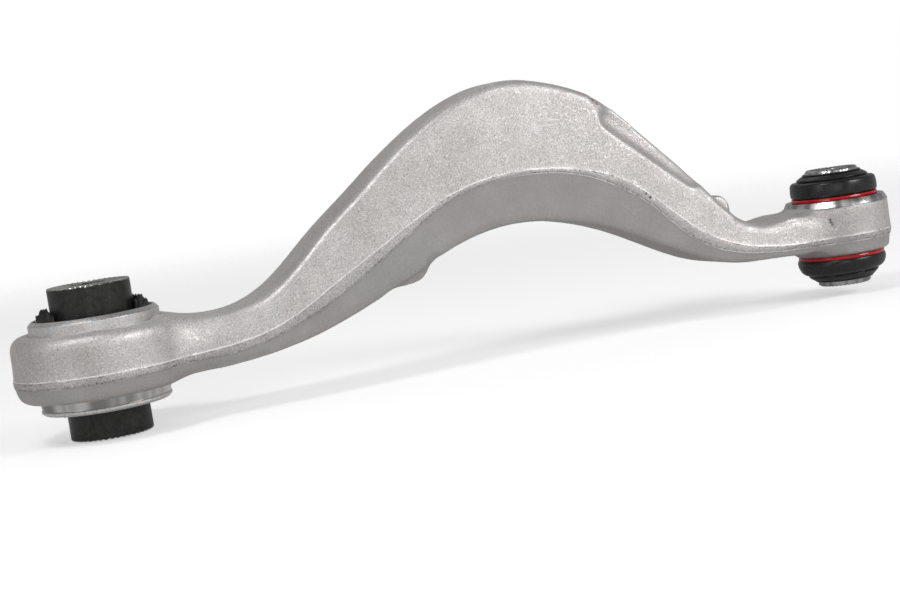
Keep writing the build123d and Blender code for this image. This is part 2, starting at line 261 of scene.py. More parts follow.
def remeshed_copy(name, node, voxel):
    """Even quad mesh over a CAD node, as a new object."""
    piece = link(name, frame["nodes"][node].data.copy())
    remesh = piece.modifiers.new("even_mesh", "REMESH")
    remesh.mode = "VOXEL"
    remesh.voxel_size = voxel * MM
    evaluated = piece.evaluated_get(bpy.context.evaluated_depsgraph_get())
    mesh = bpy.data.meshes.new_from_object(evaluated)
    mesh.name = name
    piece.modifiers.clear()
    piece.data = mesh
    mesh.materials.clear()
    mesh.polygons.foreach_set("use_smooth", [True] * len(mesh.polygons))
    return piece


def neighbour_pairs(mesh):
    """Both ends of every edge, and how many neighbours each vertex has."""
    edges = np.empty(len(mesh.edges) * 2, int)
    mesh.edges.foreach_get("vertices", edges)
    first, second = edges.reshape(-1, 2).T
    return first, second, np.bincount(edges, minlength=len(mesh.vertices))[:, None]


def neighbour_middles(points, pairs):
    """The middle of each vertex's neighbours."""
    first, second, counts = pairs
    total = np.zeros_like(points)
    for axis in range(3):
        total[:, axis] += np.bincount(first, points[second, axis], len(points))
        total[:, axis] += np.bincount(second, points[first, axis], len(points))
    return total / counts


def relax(mesh, weights, rounds):
    """Moves each vertex towards the middle of its neighbours, by its own weight."""
    points = coordinates(mesh)
    pairs = neighbour_pairs(mesh)
    for _ in range(rounds):
        points += (neighbour_middles(points, pairs) - points) * weights[:, None]
    mesh.vertices.foreach_set("co", points.ravel())
    mesh.update()


def convexity(mesh):
    """How far each vertex stands out of the middle of its neighbours, in mm."""
    points = coordinates(mesh) / MM
    middles = neighbour_middles(points, neighbour_pairs(mesh))
    return np.sum((points - middles) * normals(mesh), axis=1)


def rough_noise(points, scale, seed):
    """Smooth noise from -1 to 1 at each point; scale is the size of its lumps in mm."""
    shift = Vector((seed * 7.3, seed * 3.1, seed * 5.7))
    return np.array([noise.noise(Vector(point) / (scale * MM) + shift) for point in points])


def finish_piece(piece, material, node):
    """Gives a piece its material and its material slot, and hides the CAD node it stands for."""
    piece.data.materials.clear()
    piece.data.materials.append(material)
    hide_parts(node)


# ------------------------------------------------------------------ material helpers

class Shader:
    """One material under construction: adds nodes and joins their sockets."""

    def __init__(self, name):
        self.material = bpy.data.materials.new(name)
        self.material.use_nodes = True
        self.nodes = self.material.node_tree.nodes
        self.links = self.material.node_tree.links
        self.surface = self.nodes["Principled BSDF"]
        self.place = self.add("ShaderNodeTexCoord").outputs["Object"]

    def add(self, kind, inputs=None, **settings):
        """Adds a node, with its settings and what its inputs take."""
        node = self.nodes.new(kind)
        for key, value in settings.items():
            setattr(node, key, value)
        for key, value in (inputs or {}).items():
            self.feed(node.inputs[key], value)
        return node

    def feed(self, socket, value):
        """Joins an output to a socket, or sets the socket's number."""
        if isinstance(value, bpy.types.NodeSocket):
            self.links.new(value, socket)
        else:
            socket.default_value = value

    def set(self, **inputs):
        """Sets inputs of the surface, such as roughness=0.5."""
        for key, value in inputs.items():
            name = key.replace("_", " ").title().replace("Ior", "IOR")
            self.feed(self.surface.inputs[name], value)

    def math(self, operation, first, second=0.0):
        """One sum on two values."""
        return self.add("ShaderNodeMath", {0: first, 1: second}, operation=operation).outputs[0]

    def times(self, first, second):
        """Product of two values."""
        return self.math("MULTIPLY", first, second)

    def plus(self, value, other, factor):
        """A value plus another one times a factor."""
        return self.math("ADD", value, self.times(other, factor))

    def vector(self, operation, first, second=(0, 0, 0)):
        """Outputs of one sum on two vectors."""
        inputs = {0: first, 1: second}
        return self.add("ShaderNodeVectorMath", inputs, operation=operation).outputs

    def noise(self, size, detail=3.0, roughness=0.55, place=None):
        """Noise from 0 to 1 whose lumps are about size millimetres across."""
        inputs = {
            "Vector": place or self.place, "Scale": 1 / (size * MM), "Detail": detail,
            "Roughness": roughness,
        }
        return self.add("ShaderNodeTexNoise", inputs).outputs["Fac"]

    def cells(self, size):
        """Cells about size millimetres across: their colours, and distances to their middles."""
        inputs = {"Vector": self.place, "Scale": 1 / (size * MM)}
        return self.add("ShaderNodeTexVoronoi", inputs).outputs

    def spread(self, value, low, high, new_low=0.0, new_high=1.0):
        """Maps low..high onto new_low..new_high, smoothly and without running past it."""
        inputs = {
            "Value": value, "From Min": low, "From Max": high, "To Min": new_low,
            "To Max": new_high,
        }
        return self.add("ShaderNodeMapRange", inputs, interpolation_type="SMOOTHSTEP").outputs[0]

    def blend(self, share, first, second):
        """Mixes two colours."""
        node = self.add("ShaderNodeMix", data_type="RGBA")
        self.feed(node.inputs[0], share)
        self.feed(node.inputs[6], first)
        self.feed(node.inputs[7], second)
        return node.outputs[2]

    def shade(self, colour, factor):
        """Multiplies a colour by a number."""
        node = self.add("ShaderNodeVectorMath", operation="SCALE")
        self.feed(node.inputs[0], colour)
        self.feed(node.inputs["Scale"], factor)
        return node.outputs[0]

    def bump(self, height, depth, normal=None):
        """Bump whose height value of 1 stands depth millimetres proud."""
        inputs = {"Height": height, "Distance": depth * MM, "Strength": 1.0}
        if normal is not None:
            inputs["Normal"] = normal
        return self.add("ShaderNodeBump", inputs).outputs[0]

    def attribute(self, name):
        """The number stored under this name at each vertex."""
        return self.add("ShaderNodeAttribute", attribute_name=name).outputs["Fac"]

    def along(self, axis):
        """Place along one axis, in metres."""
        return self.add("ShaderNodeSeparateXYZ", {0: self.place}).outputs[axis]

    def distance(self, point):
        """Distance in metres to a point given in millimetres."""
        return self.vector("DISTANCE", self.place, Vector(point) * MM)["Value"]

    def offset(self, centre):
        """Place measured from a centre given in metres."""
        return self.vector("SUBTRACT", self.place, centre)[0]

    def flattened(self, offset):
        """An offset without its height."""
        return self.vector("MULTIPLY", offset, (1, 1, 0))[0]

    def around(self, centre, radius):
        """Place on a cylinder of this radius in mm: it only changes round the upright axis."""
        flat = self.flattened(self.offset(centre))
        return self.shade(self.vector("NORMALIZE", flat)[0], radius * MM)

    def ring_tangent(self, centre):
        """Direction round an upright axis through centre, for turned metal."""
        around = self.vector("CROSS_PRODUCT", (0, 0, 1), self.offset(centre))[0]
        return self.vector("NORMALIZE", around)[0]

    def turning_marks(self, centre, pitch):
        """Fine rings left by a cutting tool, from their distance out and their height."""
        offset = self.offset(centre)
        out = self.vector("LENGTH", self.flattened(offset))["Value"]
        height = self.add("ShaderNodeSeparateXYZ", {0: offset}).outputs["Z"]
        line = self.add("ShaderNodeCombineXYZ", {"X": self.plus(out, height, 0.83)}).outputs[0]
        return self.noise(pitch, 2.0, 0.6, line)


# ------------------------------------------------------------------ materials

def land_edge_highlight_and_shade(shader, above, below):
    """The sheared land's edges as painted highlights, and painted shade lines in its grooves that are broken
    into nicks.
    """
    wander = shader.spread(shader.noise(6, 3.0), 0.3, 0.7, -0.12, 0.12)
    from_top = shader.math("ADD", above, wander)
    from_bottom = shader.math("ADD", below, wander)

    top_line = shader.spread(shader.math("ABSOLUTE", from_top), 0.42, 0.12)
    low_line = shader.spread(shader.math("ABSOLUTE", from_bottom), 0.36, 0.1)
    # The bottom line is a painted highlight towards the ball and painted shade towards the bush
    towards_ball = shader.spread(shader.along("X"), 175 * MM, 215 * MM, -0.7, 1.0)
    broken = shader.spread(shader.noise(11, 4.0, 0.7), 0.38, 0.52)
    edge_highlight = shader.times(shader.plus(top_line, low_line, towards_ball), broken)

    # Painted shade in the grooves just inside both edges of the land
    under_top = shader.math("ABSOLUTE", shader.math("ADD", from_top, 0.62))
    near_bottom = shader.math("ABSOLUTE", shader.math("ADD", from_bottom, 0.5))
    under_top = shader.spread(under_top, 0.36, 0.1)
    near_bottom = shader.spread(near_bottom, 0.42, 0.1)
    nicks = shader.spread(shader.noise(4.0, 5.0, 0.75), 0.5, 0.62)
    dark = shader.times(shader.math("MAXIMUM", under_top, near_bottom), nicks)
    return edge_highlight, dark


def forged_aluminium():
    """Shot-blasted forging: fine grain, a smoother lower wall with painted shade, a trimmed land and marks
    with painted highlights and shade, and polished edges with a painted highlight.
    """
    shader = Shader("forged_aluminium")
    grain = shader.noise(0.62, 4.0, 0.85)
    patches = shader.noise(16, 4.0, 0.6)
    stains = shader.noise(46, 3.0, 0.5)
    above = shader.attribute("above_land")
    below = shader.attribute("below_land")

    # Small facets of the blasted skin: a few shine, and fewer are dark pits
    cells = shader.cells(0.75)
    facet = shader.add("ShaderNodeSeparateColor", {0: cells["Color"]}).outputs[0]
    sparkle = shader.spread(facet, 0.86, 1.0)
    pits = shader.spread(facet, 0.03, 0.0)
    level = shader.spread(grain, 0.32, 0.68, 0.45, 0.85)
    level = shader.times(level, shader.spread(patches, 0.3, 0.7, 0.94, 1.05))
    level = shader.times(level, shader.spread(stains, 0.35, 0.65, 0.95, 1.04))
    level = shader.plus(level, sparkle, 0.1)
    level = shader.plus(level, pits, -0.15)

    # The wall below the land is smoother, and painted darker as shade on this downward-facing wall
    lower = shader.spread(below, 0.0, 0.5)
    lower_wall_shaded_level = shader.spread(patches, 0.25, 0.75, 0.47, 0.53)
    lower_wall_shaded_level = shader.math("ADD", lower_wall_shaded_level, shader.spread(grain, 0.25, 0.75, -0.04, 0.04))
    share = shader.times(lower, 0.9)
    kept = shader.times(level, shader.math("SUBTRACT", 1.0, share))
    level = shader.plus(kept, lower_wall_shaded_level, share)

    # Painted highlights and painted groove shade along the land; the land itself is painted slightly darker,
    # a painted shade that tones down its raised band
    edge_highlight, dark = land_edge_highlight_and_shade(shader, above, below)
    on_land = shader.times(shader.spread(above, 0.0, -0.4), shader.spread(below, 0.0, -0.4))
    level = shader.plus(level, edge_highlight, 0.3)
    level = shader.plus(level, dark, -0.3)
    level = shader.plus(level, on_land, -0.1)
    # Each mark's tone is painted shade in a dent or a painted highlight on a proud mark
    for place, radius, tone in MARKS:
        spot = shader.spread(shader.distance(place), 1.15 * radius * MM, 0.35 * radius * MM)
        level = shader.plus(level, spot, tone)

    # Blasting and handling have polished the rounded edges smoother, and a painted highlight makes them
    # paler
    edge_polish_and_highlight = shader.spread(shader.attribute("convexity"), 0.008, 0.034)
    edge_polish_and_highlight = shader.times(edge_polish_and_highlight, shader.spread(grain, 0.3, 0.62, 0.35, 1.0))
    level = shader.plus(level, edge_polish_and_highlight, 0.07)

    warm, neutral = (1.0, 0.95, 0.93, 1), (1.0, 0.975, 0.95, 1)
    tint = shader.blend(shader.spread(stains, 0.4, 0.6), warm, neutral)
    shader.set(base_color=shader.shade(tint, level), metallic=0.72)
    rough = shader.spread(grain, 0.3, 0.7, 0.64, 0.52)
    rough = shader.plus(rough, sparkle, -0.12)
    rough = shader.plus(rough, edge_polish_and_highlight, -0.14)
    shader.set(roughness=shader.plus(rough, lower, -0.06))
    height = shader.plus(shader.times(grain, 0.7), cells["Distance"], 0.3)
    flatter = shader.plus(1.0, lower, -0.5)
    shader.set(normal=shader.bump(shader.times(height, flatter), 0.1))
    return shader.material


def turned_metal(name, centre, level, roughness, reflection_streak_depth):
    """Machined aluminium or steel: fine rings, stretched reflections, and painted reflection streaks round
    it.
    """
    shader = Shader(name)
    rings = shader.turning_marks(centre, 0.35)
    cloud = shader.noise(7, 3.0)
    # Painted reflection streaks round the ring, darkening the tone in bands
    painted_reflection = shader.noise(6.5, 2.0, 0.6, shader.around(centre, 25))
    tone = shader.spread(rings, 0.3, 0.7, level * 0.9, level * 1.06)
    tone = shader.times(tone, shader.spread(cloud, 0.3, 0.7, 0.93, 1.05))
    tone = shader.times(tone, shader.spread(painted_reflection, 0.38, 0.6, 1 - reflection_streak_depth, 1.0))
    shader.set(base_color=shader.shade((1.0, 0.99, 0.985), tone), metallic=1.0)
    shader.set(roughness=shader.spread(cloud, 0.3, 0.7, roughness * 0.85, roughness * 1.2))
    shader.set(anisotropic=0.6, tangent=shader.ring_tangent(centre))
    shader.set(normal=shader.bump(rings, 0.012))
    return shader.material


def sandy_sleeve():
    """Bush sleeve: sandy coat above, a polished flank below with painted reflection streaks, and a matt lip.
    """
    shader = Shader("sleeve_metal")
    height = shader.along("Z")
    polished = shader.spread(height, -14.4 * MM, -15.2 * MM)
    lip = shader.spread(height, (2.3 - SLEEVE_HALF) * MM, (1.9 - SLEEVE_HALF) * MM)
    flank = shader.math("SUBTRACT", polished, lip)
    coat = shader.math("SUBTRACT", 1.0, flank)
    grain = shader.noise(0.7, 4.0, 0.75)
    # Painted reflection streaks round the polished flank
    painted_reflection_bands = shader.noise(19, 3.0, 0.5, shader.around(BUSH_CENTRE, SLEEVE_RADIUS))
    hue = shader.noise(2.2, 3.0, 0.7)
    sandy_tone = shader.spread(grain, 0.3, 0.7, 0.6, 1.0)
    flank_reflection_tone = shader.spread(painted_reflection_bands, 0.36, 0.62, 0.3, 1.0)
    tone = shader.plus(shader.times(sandy_tone, coat), flank_reflection_tone, flank)
    tint = shader.blend(shader.spread(hue, 0.4, 0.6), (1.0, 0.95, 0.92, 1), (0.97, 0.98, 1.0, 1))
    shader.set(base_color=shader.shade(tint, tone), metallic=1.0)
    shader.set(roughness=shader.plus(shader.plus(0.16, coat, 0.2), lip, 0.12))
    shader.set(anisotropic=0.4, tangent=shader.ring_tangent(BUSH_CENTRE))
    shader.set(normal=shader.bump(shader.times(grain, coat), 0.07))
    return shader.material


def moulded_rubber(name, level, roughness, dust):
    """Black rubber with a slight sheen, fine moulded grain and a little dust."""
    shader = Shader(name)
    grain = shader.noise(0.35, 3.0, 0.65)
    smear = shader.noise(4.5, 4.0, 0.6)
    specks = shader.spread(shader.noise(1.1, 4.0, 0.8), 0.66, 0.74)
    tone = shader.spread(smear, 0.3, 0.75, level * 0.75, level * 1.35)
    tone = shader.plus(tone, specks, dust)
    shader.set(base_color=shader.shade((0.97, 1.0, 1.02), tone))
    shader.set(roughness=shader.spread(smear, 0.3, 0.7, roughness * 0.8, roughness * 1.25))
    shader.set(specular_ior_level=0.5)
    waves = shader.bump(shader.noise(2.6, 2.0), 0.05)
    shader.set(normal=shader.bump(grain, 0.025, waves))
    return shader.material


def coated_core():
    """Steel core with a dark satin coating, worn pale where its ends are bare."""
    shader = Shader("coated_core")
    mottle = shader.noise(2.2, 5.0, 0.7)
    smear = shader.noise(9, 3.0)
    specks = shader.spread(shader.noise(0.7, 3.0, 0.8), 0.62, 0.74)
    uneven = shader.spread(mottle, 0.3, 0.7, -0.2 * MM, 0.2 * MM)
    reach = shader.math("ADD", shader.math("ABSOLUTE", shader.along("Z")), uneven)
    bare = shader.spread(reach, (CORE_HALF - 0.75) * MM, (CORE_HALF - 0.35) * MM)
    tone = shader.spread(mottle, 0.3, 0.7, 0.012, 0.034)
    tone = shader.plus(tone, specks, 0.03)
    dark = shader.shade((1.03, 1.0, 0.96), tone)
    pale = shader.shade((1.0, 0.99, 0.97), shader.spread(mottle, 0.3, 0.7, 0.42, 0.62))
    shader.set(base_color=shader.blend(bare, dark, pale))
    shader.set(metallic=shader.spread(bare, 0, 1, 0.25, 1.0))
    satin = shader.spread(smear, 0.3, 0.7, 0.26, 0.44)
    shader.set(roughness=shader.plus(satin, bare, -0.08))
    drawn = shader.noise(3.2, 2.0, 0.6, shader.around(BUSH_CENTRE, CORE_RADIUS))
    drawn = shader.bump(drawn, 0.08)
    shader.set(normal=shader.bump(shader.noise(0.5, 4.0, 0.7), 0.05, drawn))
    return shader.material


def red_ring():
    """Glossy red plastic."""
    shader = Shader("clamp_ring_red")
    cloud = shader.noise(3.0, 3.0)
    colour = shader.blend(cloud, (0.42, 0.003, 0.008, 1), (0.58, 0.006, 0.016, 1))
    shader.set(base_color=colour, roughness=shader.spread(cloud, 0.3, 0.7, 0.16, 0.26))
    shader.set(coat_weight=0.25, coat_roughness=0.1)
    shader.set(normal=shader.bump(shader.noise(0.8), 0.012))
    return shader.material


def moulded_plastic(name, colour, roughness):
    """Plain moulded plastic with a faint grain."""
    shader = Shader(name)
    cloud = shader.noise(3.5, 3.0)
    dark = tuple(0.82 * part for part in colour[:3]) + (1,)
    shader.set(base_color=shader.blend(cloud, dark, colour))
    shader.set(roughness=shader.spread(cloud, 0.3, 0.7, roughness * 0.85, roughness * 1.15))
    shader.set(normal=shader.bump(shader.noise(0.6), 0.015))
    return shader.material


aluminium = forged_aluminium()
sleeve_metal = sandy_sleeve()
rim_metal = turned_metal("eye_rim_metal", BALL_CENTRE, 0.72, 0.27, 0.6)
joint_steel = turned_metal("joint_steel", BALL_CENTRE, 0.62, 0.22, 0.4)
ring_steel = turned_metal("ring_steel", BALL_CENTRE, 0.4, 0.35, 0.2)
core_finish = coated_core()
bush_rubber = moulded_rubber("bush_rubber", 0.011, 0.5, 0.02)
boot_rubber = moulded_rubber("boot_rubber", 0.012, 0.28, 0.03)
red_plastic = red_ring()
race_plastic = moulded_plastic("race_plastic", (0.72, 0.7, 0.62, 1), 0.4)
collar_plastic = moulded_plastic("collar_plastic", (0.022, 0.022, 0.023, 1), 0.3)


# ------------------------------------------------------------------ arm forging

SKIN_VOXEL = 0.9

# Where the side view shows large soft die radii: the zone's middle as (x, z), then its radius
SOFT_ROOTS = [
    ((37, 15), 14), ((38, -13), 13), ((347, 12), 12), ((352, -12), 9), ((309, 12), 6),
    ((290, 28), 5), ((134, 9), 7), ((154, 18), 6), ((247, 79), 8), ((149, 11), 5),
]
# Two places where the photo's arm is fuller than the relaxed skin: the far side of the upper
# boss as (x, z), and the top of the ball's neck as x
BOSS_TIP = (306, 21)
NECK_TOP_X = 336


def skin_softness(points, across, from_bush, from_ball):
    """How strongly each part of the skin is relaxed: hardly at the machined eyes."""
    weights = np.full(len(points), 0.12)
    for (x, z), radius in SOFT_ROOTS:
        away = np.hypot(points[:, 0] - x, points[:, 2] - z)
        weights = np.maximum(weights, 0.6 * smoothstep(radius, 0.5 * radius, away))
    bar_end = smoothstep(342, 347, points[:, 0]) * smoothstep(364, 359, points[:, 0])
    weights = np.maximum(weights, 0.6 * bar_end * smoothstep(11, 14, across))
    weights *= smoothstep(29.2, 31, from_bush) * smoothstep(21.6, 23.4, from_ball)
    return np.maximum(weights, 0.05)


def land_heights(points):
    """How far each point lies above the land's top edge and below its bottom edge."""
    heights = []
    for edge in (LAND_TOP, LAND_BOTTOM):
        height = np.interp(points[:, 0], *smooth_curve(edge))
        heights.append(np.where(points[:, 0] < edge[0][0], edge[0][1], height))
    return points[:, 2] - heights[0], heights[1] - points[:, 2]


def forged_relief(points, directions, across, free, above, below):
    """How far the skin stands out: the land, the forging's unevenness, marks and fuller places."""
    in_metres = points * MM
    wall = smoothstep(0.45, 0.75, 1 - np.abs(directions[:, 2]))
    ragged = rough_noise(in_metres, 3.5, 1) * 0.12
    land = smoothstep(0.5, -0.3, above + ragged) * smoothstep(0.5, -0.3, below + ragged)
    rise = 0.26 * land * wall * free
    rise += 0.11 * rough_noise(in_metres, 17, 2) * free
    rise += 0.05 * rough_noise(in_metres, 4.2, 3) * free
    rise += 0.035 * rough_noise(in_metres, 1.9, 4) * free
    for place, radius, tone in MARKS:
        away = np.linalg.norm(points - np.array(place), axis=1) / (1.3 * radius)
        rise += 0.8 * tone * np.exp(-away ** 2)
    to_boss = np.hypot(points[:, 0] - BOSS_TIP[0], points[:, 2] - BOSS_TIP[1]) / 6
    facing_ball = smoothstep(0.2, 0.7, directions[:, 0])
    rise += 0.9 * np.exp(-to_boss ** 2) * facing_ball * smoothstep(11, 8, across)
    to_neck = (points[:, 0] - NECK_TOP_X) / 12
    rise += 0.7 * np.exp(-to_neck ** 2) * smoothstep(0.6, 0.9, directions[:, 2]) * free
    return rise


def arm_skin():
    """The forging's skin: even mesh over the CAD arm with soft die radii and forged relief."""
    piece = remeshed_copy("arm_skin", "arm_forging", SKIN_VOXEL)
    mesh = piece.data
    points = coordinates(mesh) / MM
    across = np.abs(points[:, 1])
    from_bush = np.hypot(points[:, 0], points[:, 1])
    from_ball = np.hypot(points[:, 0] - BALL_X / MM, points[:, 1])
    relax(mesh, skin_softness(points, across, from_bush, from_ball), 45)

    # The bar's sides run into the bush eye with a much larger radius than the CAD's
    bush_neck = smoothstep(26, 34, points[:, 0]) * smoothstep(74, 62, points[:, 0])
    facing = np.abs(normals(mesh)[:, 1])
    relax(mesh, 0.6 * bush_neck * smoothstep(0.35, 0.7, facing) * smoothstep(14, 18, across), 150)

    set_attribute(mesh, "convexity", convexity(mesh))
    points = coordinates(mesh) / MM
    directions = normals(mesh)
    above, below = land_heights(points)
    free = smoothstep(29.5, 31.5, from_bush) * smoothstep(22, 23.5, from_ball)
    rise = forged_relief(points, directions, across, free, above, below)
    moved = points + directions * rise[:, None]
    mesh.vertices.foreach_set("co", (moved * MM).ravel())
    mesh.update()
    set_attribute(mesh, "above_land", above)
    set_attribute(mesh, "below_land", below)
    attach(piece, "arm")
    finish_piece(piece, aluminium, "arm_forging")


def ball_eye_rim():
    """The ball eye's machined top edge, cut crisply through the blasted skin."""
    outline = [
        (20.9, 12.9), (20.9, 14.0), (24.05, 14.06), (25.62, 11.1), (25.45, 10.75), (22.0, 10.75),
        (21.6, 12.9),
    ]
    piece = turned_ring("ball_eye_rim", outline, BALL_CENTRE, 0.12)
    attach(piece, "arm")
    finish_piece(piece, rim_metal, "arm_forging")


# ------------------------------------------------------------------ rubber bush

def bush_sleeve():
    """Outer sleeve: bevelled top, and below the eye a hollow flank over a rounded lip."""
    outer = SLEEVE_RADIUS
    inner = outer - SLEEVE_WALL
    top = SLEEVE_HALF
    outline = [
        (inner, -top), (outer - 1.3, -top), (outer - 0.15, -top + 0.9), (outer - 0.1, -top + 1.7),
        (outer - 0.55, -top + 2.3), (outer - 0.05, -top + 5.4), (outer - 0.05, top - 1.75),
        (outer - 1.8, top), (inner, top),
    ]
    piece = turned_ring("bush_sleeve_turned", outline, BUSH_CENTRE, 0.35)
    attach(piece, "arm")
    finish_piece(piece, sleeve_metal, "bush_outer_sleeve")


def serrated(outline, angle, teeth, depth, end_height):
    """Cuts radial teeth into the points of a section that lie beyond end_height."""
    phase = (angle * teeth / (2 * math.pi)) % 1
    cut = depth * (1 - abs(2 * phase - 1))
    result = []
    for radius, height in outline:
        if abs(height) > end_height:
            height -= math.copysign(cut, height)
        result.append((radius, height))
    return result


def bush_core():
    """Thick core with radial teeth in both end faces."""
    end = CORE_HALF
    outline = rounded(
        [
            (CORE_BORE, -end + 0.8), (CORE_BORE + 0.8, -end), (CORE_RADIUS - 0.3, -end),
            (CORE_RADIUS, -end + 0.7), (CORE_RADIUS, end - 0.7), (CORE_RADIUS - 0.3, end),
            (CORE_BORE + 0.8, end), (CORE_BORE, end - 0.8),
        ],
        0.15, 3,
    )
    teeth = 44
    piece = lathe(
        "bush_core_turned",
        lambda angle: serrated(outline, angle, teeth, 0.55, end - 0.3),
        BUSH_CENTRE, teeth * 8,
    )
    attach(piece, "bush_core")
    finish_piece(piece, core_finish, "bush_inner_sleeve")


# Rubber between the core and the sleeve
RUBBER_FACE = 17.3
RUBBER_SPLIT = 22.2
RUBBER_GAP = 0.06
STOP_HALF_ANGLE = math.radians(31)
VOID_HALF_ANGLE = math.radians(44)
VOID_INNER = 20.4
VOID_OUTER = 24.0
STOP_INNER = 19.2
STOP_OUTER = 24.4
RUBBER_SEGMENTS = 360


def from_arm_line(angle):
    """Angle away from the arm's own line, 0 at both stops and a right angle at the voids."""
    return math.atan2(abs(math.sin(angle)), abs(math.cos(angle)))


def stop_height(radius, angle, full):
    """How far a travel stop stands above the rubber's face: stepped, with a torn edge."""
    off = from_arm_line(angle)
    along = float(smoothstep(STOP_HALF_ANGLE, STOP_HALF_ANGLE - 0.06, off))
    across = float(smoothstep(STOP_INNER, STOP_INNER + 0.5, radius))
    across *= float(smoothstep(STOP_OUTER + 0.4, STOP_OUTER, radius))
    step = 1 - 0.3 * float(smoothstep(22.4, 23.2, radius))
    step -= 0.22 * float(smoothstep(20.6, 20.0, radius))
    ribs = 0.11 * math.sin(angle * 31 + radius * 2.1) + 0.09 * math.sin(angle * 73 - radius * 3.7)
    torn = 0.1 * noise.noise(Vector((radius * 1.7, angle * 24, full)))
    return full * along * across * (step + ribs * across + torn)


def rubber_section(angle, inner, outer):
    """Closed section of the rubber between two radii, with its stops above and below."""
    top = STOP_TOP - RUBBER_FACE
    bottom = -STOP_BOTTOM - RUBBER_FACE
    count = 14
    upper = []
    lower = []
    for index in range(count + 1):
        share = index / count
        radius = inner + (outer - inner) * share
        dish = 0.9 * math.sin(math.pi * min(1, max(0, (radius - CORE_RADIUS) / 8)))
        upper.append((radius, RUBBER_FACE - dish + stop_height(radius, angle, top)))
        lower.append((radius, dish - RUBBER_FACE - stop_height(radius, angle, bottom)))
    return upper + lower[::-1]


def void_share(angle):
    """1 beside the voids, 0 where the rubber is solid, with rounded ends between."""
    from_void = math.pi / 2 - from_arm_line(angle)
    return float(smoothstep(VOID_HALF_ANGLE + 0.03, VOID_HALF_ANGLE - 0.05, from_void))


def inner_rubber_section(angle):
    """Rubber on the core's side: it ends at the void, or at the split beside it."""
    outer = RUBBER_SPLIT + (VOID_INNER - RUBBER_SPLIT) * void_share(angle)
    return rubber_section(angle, CORE_RADIUS + RUBBER_GAP, outer)


def outer_rubber_section(angle):
    """Rubber on the sleeve's side."""
    inner = RUBBER_SPLIT + (VOID_OUTER - RUBBER_SPLIT) * void_share(angle)
    return rubber_section(angle, inner, SLEEVE_RADIUS - SLEEVE_WALL - RUBBER_GAP)


def bush_rubber_halves():
    """The rubber in two rings that meet inside it: one gives to tilt, the other to twist."""
    for name, section, bodies, low, high in (
        ("bush_rubber_outer", outer_rubber_section, ("arm", "bush_rubber"),
         SLEEVE_RADIUS - SLEEVE_WALL, RUBBER_SPLIT),
        ("bush_rubber_inner", inner_rubber_section, ("bush_rubber", "bush_core"),
         RUBBER_SPLIT, CORE_RADIUS + RUBBER_GAP),
    ):
        piece = lathe(name, section, BUSH_CENTRE, RUBBER_SEGMENTS)
        finish_piece(piece, bush_rubber, "bush_rubber")
        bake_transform(piece, *bodies, start=(0, 0, 0), end=(0, 0, 0.01))
        points = coordinates(piece.data) / MM
        out = np.hypot(points[:, 0], points[:, 1])
        set_attribute(piece.data, "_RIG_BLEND", smoothstep(low, high, out))


# ------------------------------------------------------------------ ball joint

def joint_sleeve():
    """Ball with its through sleeve, toothed on both end faces."""
    end = JOINT_SLEEVE_HALF
    radius = JOINT_SLEEVE_RADIUS
    neck = JOINT_NECK_RADIUS
    ball_half_angle = math.acos(neck / BALL_RADIUS)
    ball_arc = [
        (BALL_RADIUS * math.cos(turn), BALL_RADIUS * math.sin(turn))
        for turn in np.linspace(-ball_half_angle, ball_half_angle, 25)
    ]
    outline = [
        (JOINT_SLEEVE_BORE, -end + 0.8), (JOINT_SLEEVE_BORE + 0.8, -end), (radius - 0.9, -end),
        (radius, -end + 0.9), (radius, -21), (neck, -19), *ball_arc, (neck, 19), (radius, 21),
        (radius, end - 0.9), (radius - 0.9, end), (JOINT_SLEEVE_BORE + 0.8, end),
        (JOINT_SLEEVE_BORE, end - 0.8),
    ]
    teeth = 36
    piece = lathe(
        "joint_sleeve_turned",
        lambda angle: serrated(outline, angle, teeth, 0.35, end - 0.3),
        BALL_CENTRE, teeth * 6,
    )
    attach(piece, "joint_sleeve")
    finish_piece(piece, joint_steel, "ball_sleeve")


def curve_through(points, per_span=8):
    """Smooth open curve through (radius, height) points."""
    padded = [points[0], *points, points[-1]]
    result = []
    for index in range(1, len(padded) - 2):
        before, start, end, after = (np.array(p, float) for p in padded[index - 1:index + 3])
        for step in range(per_span):
            t = step / per_span
            point = 0.5 * (
                2 * start + (end - before) * t
                + (2 * before - 5 * start + 4 * end - after) * t ** 2
                + (3 * start - before - 3 * end + after) * t ** 3
            )
            result.append(point)
    result.append(np.array(points[-1], float))
    return result


def wall_section(points, thickness):
    """Closed section of a rubber wall whose outside runs through the points."""
    outside = np.array(curve_through(points))
    along = np.gradient(outside, axis=0)
    along /= np.linalg.norm(along, axis=1)[:, None]
    inward = np.stack([-along[:, 1], along[:, 0]], axis=1)
    inside = outside + inward * thickness
    return [tuple(point) for point in outside] + [tuple(point) for point in inside[::-1]]


# Outside of the boots as (radius, height), from the eye outwards: the large fold, then the small
LARGE_FOLD = [
    (19.7, 14.2), (19.7, 15.5), (20.5, 15.95), (21.2, 16.8), (21.35, 19.2), (21.1, 21.7),
    (20.7, 22.9), (19.8, 23.6), (18.4, 23.85), (17.45, 23.9), (17.15, 24.1),
]
SMALL_FOLD = [
    (17.15, 24.1), (17.3, 24.3), (17.5, 24.55), (17.4, 24.85), (16.9, 25.2), (15.7, 25.95),
    (14.8, 26.4), (13.3, 26.5),
]
